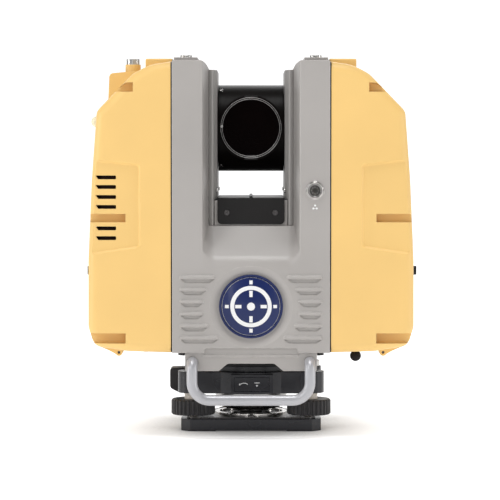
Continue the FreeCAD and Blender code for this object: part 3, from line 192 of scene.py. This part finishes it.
YELLOW = (0.82, 0.54, 0.19)
GRAY = (0.375, 0.354, 0.338)
# most finishes below have their edges painted lighter, a painted highlight that also reads as wear (darker on
# the navy emblem); some have hollows darkened with painted shade
FINISHES = {
    "yellow_shell": coated("yellow_shell", YELLOW, 0.42, mottle=0.025, grain=(1500, 0.00004), edge=0.0011,
                           wear_and_highlight=1.15, wear_and_highlight_amount=0.6, hollow_shade=0.06, Specular_IOR_Level=0.4),
    "gray_shell": coated("gray_shell", GRAY, 0.40, mottle=0.03, grain=(1700, 0.00003), edge=0.0014,
                         wear_and_highlight=1.7, wear_and_highlight_amount=0.7, hollow_shade=0.2, Specular_IOR_Level=0.5),
    "gray_liner": coated("gray_liner", (0.36, 0.345, 0.33), 0.46, mottle=0.03, grain=(1700, 0.00005),
                         wear_and_highlight=1.2, hollow_shade=0.3),
    "black_anodised": coated("black_anodised", (0.016, 0.016, 0.020), 0.26, mottle=0.12, wear_and_highlight=3.4,
                             wear_and_highlight_amount=0.5, hollow_shade=0.2, Specular_IOR_Level=0.35),
    "knob_black": coated("knob_black", (0.012, 0.011, 0.012), 0.40, mottle=0.12, wear_and_highlight=7.0, wear_and_highlight_amount=0.6,
                         Specular_IOR_Level=0.4),
    "dark_plate": coated("dark_plate", (0.012, 0.011, 0.011), 0.46, mottle=0.12, wear_and_highlight=3.4, wear_and_highlight_amount=0.4,
                         Specular_IOR_Level=0.22),
    "drum_black": coated("drum_black", (0.0035, 0.0025, 0.0022), 0.40, mottle=0.15, wear_and_highlight=5.0, wear_and_highlight_amount=0.4,
                         Specular_IOR_Level=0.06),
    "rubber_black": coated("rubber_black", (0.012, 0.010, 0.010), 0.72, mottle=0.2, grain=(1200, 0.0001),
                           wear_and_highlight=1.8, Specular_IOR_Level=0.2),
    "filter_foam": coated("filter_foam", (0.008, 0.004, 0.003), 0.85, mottle=0.4, grain=(420, 0.0004),
                          wear_and_highlight=1.5, Specular_IOR_Level=0.1),
    "pack_gray": coated("pack_gray", (0.09, 0.09, 0.10), 0.5, mottle=0.1, wear_and_highlight=1.6),
    "key_gray": coated("key_gray", (0.14, 0.14, 0.15), 0.55, mottle=0.08, wear_and_highlight=1.4, edge=0.0005),
    "cream_sleeve": coated("cream_sleeve", (0.70, 0.63, 0.55), 0.28, mottle=0.05, wear_and_highlight=1.2),
    "mark_white": coated("mark_white", (0.80, 0.80, 0.80), 0.35, mottle=0.03, wear_and_highlight=1.1, edge=0.0002),
    "brass": brushed("brass", (0.72, 0.52, 0.24), 0.28, (1, 1, 0.08)),
    "steel_bright": brushed("steel_bright", (0.80, 0.77, 0.74), 0.16, (1, 1, 0.05), depth=0.000006),
    "steel_plain": brushed("steel_plain", (0.42, 0.41, 0.40), 0.34, (1, 1, 0.1)),
    "steel_dark": brushed("steel_dark", (0.10, 0.095, 0.095), 0.30, (1, 1, 0.1)),
    "bowl_dark": brushed("bowl_dark", (0.32, 0.31, 0.30), 0.24, (1, 1, 0.05), depth=0.000006),
    "machined": brushed("machined", (0.55, 0.54, 0.52), 0.30, (1, 1, 0.1)),
    "cast_gray": coated("cast_gray", (0.30, 0.30, 0.30), 0.55, metal=0.6, mottle=0.1, grain=(500, 0.0002)),
    "bar_silver": coated("bar_silver", (0.42, 0.42, 0.44), 0.38, metal=0.35, mottle=0.05,
                         grain=(1400, 0.00003), edge=0),
    "board_green": coated("board_green", (0.03, 0.14, 0.07), 0.4, mottle=0.2),
    "window_glass": coated("window_glass", (0.0025, 0.0012, 0.0012), 0.05, mottle=0.3, edge=0.0005, wear_and_highlight=2.0,
                           Specular_IOR_Level=0.05),
    "mirror_coat": coated("mirror_coat", (0.85, 0.80, 0.70), 0.04, metal=1.0, mottle=0.02, edge=0),
    "screen_black": coated("screen_black", (0.006, 0.006, 0.008), 0.08, mottle=0.1, edge=0.0004, wear_and_highlight=2.0,
                           Specular_IOR_Level=0.3),
    "lamp_lens": coated("lamp_lens", (0.93, 0.86, 0.62), 0.22, mottle=0.04, edge=0.0006,
                        Transmission_Weight=0.25),
    "navy_emblem": coated("navy_emblem", (0.010, 0.020, 0.095), 0.22, mottle=0.12, edge=0.0009, wear_and_highlight=0.4,
                          wear_and_highlight_amount=0.9, grain=(700, 0.00001), Coat_Weight=0.12, Coat_Roughness=0.04,
                          Specular_IOR_Level=0.25),
}


def paint(thing, name):
    material = FINISHES[name]
    thing.data.materials.clear()
    thing.data.materials.append(material)


for part in frame["record"]["subparts"]:
    paint(NODES[part["node"]], part["material_slot"])


# ---------------------------------------------------------------- fine pieces

FRONT = Matrix(((1, 0, 0, 0), (0, 0, -1, 0), (0, 1, 0, 0), (0, 0, 0, 1)))
RIGHT = Matrix(((0, 0, 1, 0), (1, 0, 0, 0), (0, 1, 0, 0), (0, 0, 0, 1)))
UP = Matrix.Identity(4)

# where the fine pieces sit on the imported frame, in millimetres
EMBLEM = (0, -100, 118.8)
PORT = (57.4, -100, 222.9)
PORT_MARK = (57.4, -100, 208)
LOCK_LABEL = (0, -53.5, 44)
WINDOW = (0, -40.96, 279.5)
LEVEL_CUP = (56, 20, 60.2)
DISPLAY = (137.4, 0, 251)
KEYS = (("power", -24), ("menu", 0), ("start", 24))
KEY_FACE, KEY_LEVEL = 139.0, 208
LINER_FACE, PIN_BACK, PIN_LEVEL = 31.0, 54.5, 222
DOME_RISE, DOME_RADIUS = 1.4, 160


def at(facing, x, y, z):
    """A local frame in millimetres at a point; its third axis leaves the surface."""
    return Matrix.Scale(MM, 4) @ Matrix.Translation((x, y, z)) @ facing


def revolve(mesh, section, place, start=0.0, sweep=360.0, steps=72):
    """Turns a closed section of (radius, height) points about the third axis of a local frame."""
    whole = abs(sweep - 360) < 1e-6
    count = steps if whole else steps + 1
    loops = []
    for index in range(count):
        angle = math.radians(start + sweep * index / steps)
        loops.append([mesh.verts.new(place @ Vector((r * math.cos(angle), r * math.sin(angle), h)))
                      for r, h in section])
    size = len(section)
    for index in range(steps):
        first, second = loops[index], loops[(index + 1) % count]
        for corner in range(size):
            follow = (corner + 1) % size
            mesh.faces.new((first[corner], second[corner], second[follow], first[follow]))
    if not whole:
        mesh.faces.new(loops[0])
        mesh.faces.new(list(reversed(loops[-1])))


def extrude(mesh, outline, place, low, high, inset=0.12):
    """A flat raised shape with a chamfered top edge; the outline is anticlockwise and convex."""
    centre = sum((Vector(point) for point in outline), Vector((0, 0))) / len(outline)
    rings = []
    for height, shrink in ((low, 0), (high - inset, 0), (high, inset)):
        ring = []
        for point in outline:
            out = Vector(point) - centre
            flat = centre + out * max(0.05, 1 - shrink / max(out.length, 0.01))
            ring.append(mesh.verts.new(place @ Vector((flat.x, flat.y, height))))
        rings.append(ring)
    size = len(outline)
    for lower, upper in zip(rings, rings[1:]):
        for index in range(size):
            follow = (index + 1) % size
            mesh.faces.new((lower[index], lower[follow], upper[follow], upper[index]))
    mesh.faces.new(list(reversed(rings[0])))
    mesh.faces.new(rings[-1])


def bar(mesh, place, u0, v0, u1, v1, high):
    """A raised rectangle from one corner to the other."""
    extrude(mesh, [(u0, v0), (u1, v0), (u1, v1), (u0, v1)], place, -0.1, high)


def bead(radius, thick, lift=0.0, points=10):
    """The round section of a ring."""
    angles = [2 * math.pi * index / points for index in range(points)]
    return [(radius + thick * math.cos(angle), lift + thick * math.sin(angle)) for angle in angles]


def button(radius, high, low=-0.2, crown=0.3):
    """The section of a low round head with a crowned top."""
    return [(0.001, low), (radius, low), (radius, high - crown), (radius - crown * 0.8, high - crown * 0.25),
            (radius * 0.5, high), (0.001, high)]


def keep(name, mesh, body, slot):
    """Ends a piece: cleans its mesh, gives it its finish and lets it ride on its body."""
    bmesh.ops.remove_doubles(mesh, verts=mesh.verts, dist=2e-6)
    bmesh.ops.dissolve_degenerate(mesh, edges=mesh.edges, dist=1e-7)
    bmesh.ops.recalc_face_normals(mesh, faces=mesh.faces)
    data = bpy.data.meshes.new(name)
    mesh.to_mesh(data)
    mesh.free()
    for polygon in data.polygons:
        polygon.use_smooth = True
    data.set_sharp_from_angle(angle=math.radians(32))
    thing = bpy.data.objects.new(name, data)
    bpy.context.scene.collection.objects.link(thing)
    paint(thing, slot)
    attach(thing, body)


def emblem_mark():
    """A plain reticle on the dome: a ring, a dot and four pairs of ticks, with a thin line round it."""
    def dome(radius):
        return DOME_RISE - radius * radius / (2 * DOME_RADIUS)

    mesh = bmesh.new()
    face = at(FRONT, *EMBLEM)
    ring = ((15.0, -0.1), (18.6, -0.1), (18.6, 0.12), (18.4, 0.2), (15.2, 0.2), (15.0, 0.12))
    revolve(mesh, [(radius, dome(radius) + high) for radius, high in ring], face, steps=120)
    revolve(mesh, button(3.6, 1.62, 1.2, 0.12), face, steps=48)
    for turn in range(4):
        spoke = face @ Matrix.Rotation(math.radians(90 * turn), 4, "Z")
        for inner, outer in ((8.6, 14.2), (19.4, 23.4)):
            high = dome(outer) + 0.25
            extrude(mesh, [(inner, -1.5), (outer, -1.5), (outer, 1.5), (inner, 1.5)], spoke, high - 0.6,
                    high + (outer - inner) * 0.05)
    keep("emblem_mark", mesh, "alidade", "mark_white")
    mesh = bmesh.new()
    revolve(mesh, bead(26.0, 0.16, dome(26.0), 8), face, steps=120)
    keep("emblem_line", mesh, "alidade", "machined")


def lock_mark():
    """A curved arrow and a small pointer on the lever's label."""
    mesh = bmesh.new()
    face = at(FRONT, *LOCK_LABEL) @ Matrix.Scale(0.85, 4)
    revolve(mesh, [(5.6, -0.1), (6.3, -0.1), (6.3, 0.16), (5.6, 0.16)],
            face @ Matrix.Translation((-7.5, -4.6, 0)), start=48, sweep=96, steps=20)
    extrude(mesh, [(-13.2, -0.9), (-11.2, -0.3), (-12.0, 1.3)], face, -0.1, 0.16, 0.05)
    extrude(mesh, [(6.4, -2.8), (7.8, -0.9), (5.0, -0.9)], face, -0.1, 0.16, 0.05)
    bar(mesh, face, 3.4, 1.2, 9.4, 1.9, 0.16)
    keep("lock_mark", mesh, "head", "mark_white")


def connector_details():
    """The port's dark insert and two thin dark rings, its bright rim, and the three-dot mark under it."""
    port = at(FRONT, *PORT)
    mesh = bmesh.new()
    revolve(mesh, [(0.001, -1.6), (4.9, -1.6), (4.9, -0.9), (4.5, -0.6), (0.001, -0.6)], port, steps=48)
    revolve(mesh, bead(5.9, 0.38, 1.75), port)
    revolve(mesh, bead(7.6, 0.22, 1.0), port)
    keep("connector_insert", mesh, "alidade", "rubber_black")
    mesh = bmesh.new()
    revolve(mesh, bead(6.85, 0.42, 1.6), port)
    keep("connector_rings", mesh, "alidade", "steel_bright")
    mesh = bmesh.new()
    mark = at(FRONT, *PORT_MARK)
    for across, up in ((-1.5, -1.2), (1.5, -1.2), (0.0, 1.5)):
        revolve(mesh, button(0.95, 0.3, -0.1, 0.1), mark @ Matrix.Translation((across, up, 0)), steps=20)
    bar(mesh, mark, -0.9, -1.4, 0.9, -1.0, 0.2)
    keep("connector_mark", mesh, "alidade", "mark_white")


def window_beads():
    """The two bright edges of the ring that holds the drum's window, and its index dot."""
    mesh = bmesh.new()
    face = at(FRONT, *WINDOW)
    for radius in (26.3, 27.8):
        revolve(mesh, bead(radius, 0.22, -0.04, 8), face, steps=128)
    revolve(mesh, button(1.3, 0.5, -0.3, 0.2), face @ Matrix.Translation((-27.0, 1.2, 0)), steps=20)
    keep("window_ring_beads", mesh, "mirror", "steel_plain")


def liner_pins():
    """A round-headed pin near each end of each tower's liner."""
    mesh = bmesh.new()
    for side in (-1, 1):
        inward = Matrix.Rotation(math.radians(-90 * side), 4, "Y")
        for back in (-PIN_BACK, PIN_BACK):
            place = at(inward, side * LINER_FACE, back, PIN_LEVEL)
            revolve(mesh, button(2.0, 1.0, -0.4, 0.4), place, steps=28)
    keep("liner_pins", mesh, "alidade", "machined")


def key_marks():
    """Plain signs on the three keys: on, list and play."""
    for name, back in KEYS:
        mesh = bmesh.new()
        face = at(RIGHT, KEY_FACE, back, KEY_LEVEL)
        if name == "power":
            revolve(mesh, [(1.5, -0.1), (1.95, -0.1), (1.95, 0.12), (1.5, 0.12)], face, 122, 296, 30)
            bar(mesh, face, -0.22, 0.2, 0.22, 2.3, 0.12)
        elif name == "menu":
            for level in (-1.3, 0, 1.3):
                bar(mesh, face, -1.6, level - 0.22, 1.6, level + 0.22, 0.12)
        else:
            extrude(mesh, [(-1.1, -1.7), (1.8, 0), (-1.1, 1.7)], face, -0.1, 0.12, 0.05)
        keep(f"{name}_sign", mesh, f"{name}_button", "mark_white")


def display_view():
    """A plain page on the display: frame, scan arcs, rows and a charge bar."""
    face = at(RIGHT, *DISPLAY)
    source = face @ Matrix.Translation((-13.7, -14.0, 0))
    mesh = bmesh.new()
    for u0, v0, u1, v1 in ((-32, 24.6, 32, 25.2), (-32, -25.2, 32, -24.6), (-32, -24.6, -31.4, 24.6),
                           (31.4, -24.6, 32, 24.6), (-31.4, 17.6, 31.4, 18.0), (4.0, -24.6, 4.4, 17.6)):
        bar(mesh, face, u0, v0, u1, v1, 0.1)
    for row in range(5):
        low, high = 11.0 - 7.4 * row, 12.4 - 7.4 * row
        bar(mesh, face, 7.5, low, 20.0 - 2.4 * (row % 3), high, 0.1)
        bar(mesh, face, 23.0, low, 28.0, high, 0.1)
    for index in range(3):
        bar(mesh, face, 22.5 + 2.4 * index, 20.2, 24.3 + 2.4 * index, 22.6, 0.1)
    keep("display_rows", mesh, "alidade", "mark_white")
    mesh = bmesh.new()
    for radius in (4.5, 8.5, 12.5):
        revolve(mesh, [(radius, -0.1), (radius + 0.5, -0.1), (radius + 0.5, 0.1), (radius, 0.1)],
                source, 22, 136, 36)
    revolve(mesh, button(1.4, 0.1, -0.1, 0.05), source, steps=24)
    keep("display_arcs", mesh, "alidade", "lamp_lens")


def level_details():
    """The level's fluid, its ring and its bubble."""
    cup = at(UP, *LEVEL_CUP)
    mesh = bmesh.new()
    revolve(mesh, [(0.001, -0.4), (6.6, -0.4), (6.6, -0.05), (4.4, 0.2), (0.001, 0.3)], cup, steps=48)
    keep("level_fluid", mesh, "head", "lamp_lens")
    mesh = bmesh.new()
    revolve(mesh, bead(2.6, 0.16, 0.28, 8), cup, steps=48)
    revolve(mesh, bead(6.75, 0.25, 0.02, 8), cup, steps=48)
    keep("level_rings", mesh, "head", "rubber_black")
    mesh = bmesh.new()
    revolve(mesh, button(1.7, 0.5, 0.1, 0.15), cup @ Matrix.Translation((0.5, 0.3, 0)), steps=28)
    keep("level_bubble", mesh, "head", "mark_white")


emblem_mark()
lock_mark()
connector_details()
window_beads()
liner_pins()
key_marks()
display_view()
level_details()


# ---------------------------------------------------------------- the studio

AIM = (0, 0, 0.18)
EYE, LOOK_DOWN = (0, -2.2, 0.262), 2.52
WHITE = (1, 1, 1, 1)


def studio_floor():
    """A pale floor that curves up into a backdrop and glows evenly, dimmed under and around the object as a
    painted contact shadow.
    """
    mesh = bmesh.new()
    start, curve = 3.6, 1.4
    run = [(-7.0, 0.0), (start, 0.0)]
    for angle in (math.radians(15 * step) for step in range(1, 7)):
        run.append((start + curve * math.sin(angle), curve - curve * math.cos(angle)))
    run.append((start + curve, 6.0))
    rows = [[mesh.verts.new((x, y, z)) for y, z in run] for x in (-7.0, 7.0)]
    for index in range(len(run) - 1):
        mesh.faces.new((rows[0][index], rows[1][index], rows[1][index + 1], rows[0][index + 1]))
    data = bpy.data.meshes.new("studio_floor")
    mesh.to_mesh(data)
    mesh.free()
    for polygon in data.polygons:
        polygon.use_smooth = True
    floor = bpy.data.objects.new("studio_floor", data)
    bpy.context.scene.collection.objects.link(floor)
    finish = Finish("studio_white", 0.7)
    color = finish.mix(finish.noise(3.0), (0.40, 0.40, 0.40, 1.0), (0.43, 0.43, 0.43, 1.0))
    # painted shadow: the floor's glow fades where ambient occlusion finds the object close by
    near = finish.add("ShaderNodeAmbientOcclusion", samples=8)
    near.inputs["Distance"].default_value = 0.085
    glow = finish.remap(near.outputs["AO"], 0.30, 0.92, 0.05, 0.92)
    finish.shader.inputs["Emission Color"].default_value = WHITE
    finish.feed(finish.shader.inputs["Emission Strength"], glow)
    data.materials.append(finish.done(color))


def soft_light(name, place, size, power):
    """A white rectangular light aimed at the middle of the object."""
    light = bpy.data.lights.new(name, "AREA")
    light.shape = "RECTANGLE"
    light.size, light.size_y = size
    light.energy = power
    lamp = bpy.data.objects.new(name, light)
    lamp.location = place
    lamp.rotation_euler = (Vector(AIM) - Vector(place)).to_track_quat("-Z", "Y").to_euler()
    bpy.context.scene.collection.objects.link(lamp)


def studio_lights():
    """Soft lights in front, narrow strips for the round metal, and one from each side and behind."""
    soft_light("key", (-1.7, -2.3, 1.9), (1.3, 1.3), 24)
    soft_light("fill", (1.9, -2.2, 1.2), (1.4, 1.4), 6)
    soft_light("top", (0.0, -0.5, 2.4), (1.0, 0.7), 27)
    soft_light("left_strip", (-0.55, -2.3, 0.5), (0.12, 1.2), 2.2)
    soft_light("right_strip", (0.8, -2.2, 0.5), (0.12, 1.2), 2.2)
    soft_light("left_side", (-2.3, -0.5, 0.5), (0.22, 1.2), 15)
    soft_light("right_side", (2.3, -0.5, 0.5), (0.22, 1.2), 13)
    soft_light("back", (0.0, 2.4, 1.7), (1.6, 1.0), 10)


def studio_world():
    """The even light from all round, and plain colours in the picture."""
    world = bpy.data.worlds.new("studio")
    world.use_nodes = True
    sky = world.node_tree.nodes["Background"]
    sky.inputs["Color"].default_value = WHITE
    sky.inputs["Strength"].default_value = 0.17
    bpy.context.scene.world = world
    bpy.context.scene.view_settings.view_transform = "Standard"


def studio_camera():
    """A long lens a little above the middle of the object, looking slightly down from the front."""
    camera = bpy.data.cameras.new("camera")
    camera.lens = 168.84
    camera.shift_x = -0.002
    camera.clip_end = 50
    eye = bpy.data.objects.new("camera", camera)
    eye.location = EYE
    eye.rotation_euler = (math.radians(90 - LOOK_DOWN), 0, 0)
    bpy.context.scene.collection.objects.link(eye)
    bpy.context.scene.camera = eye


studio_floor()
studio_lights()
studio_world()
studio_camera()
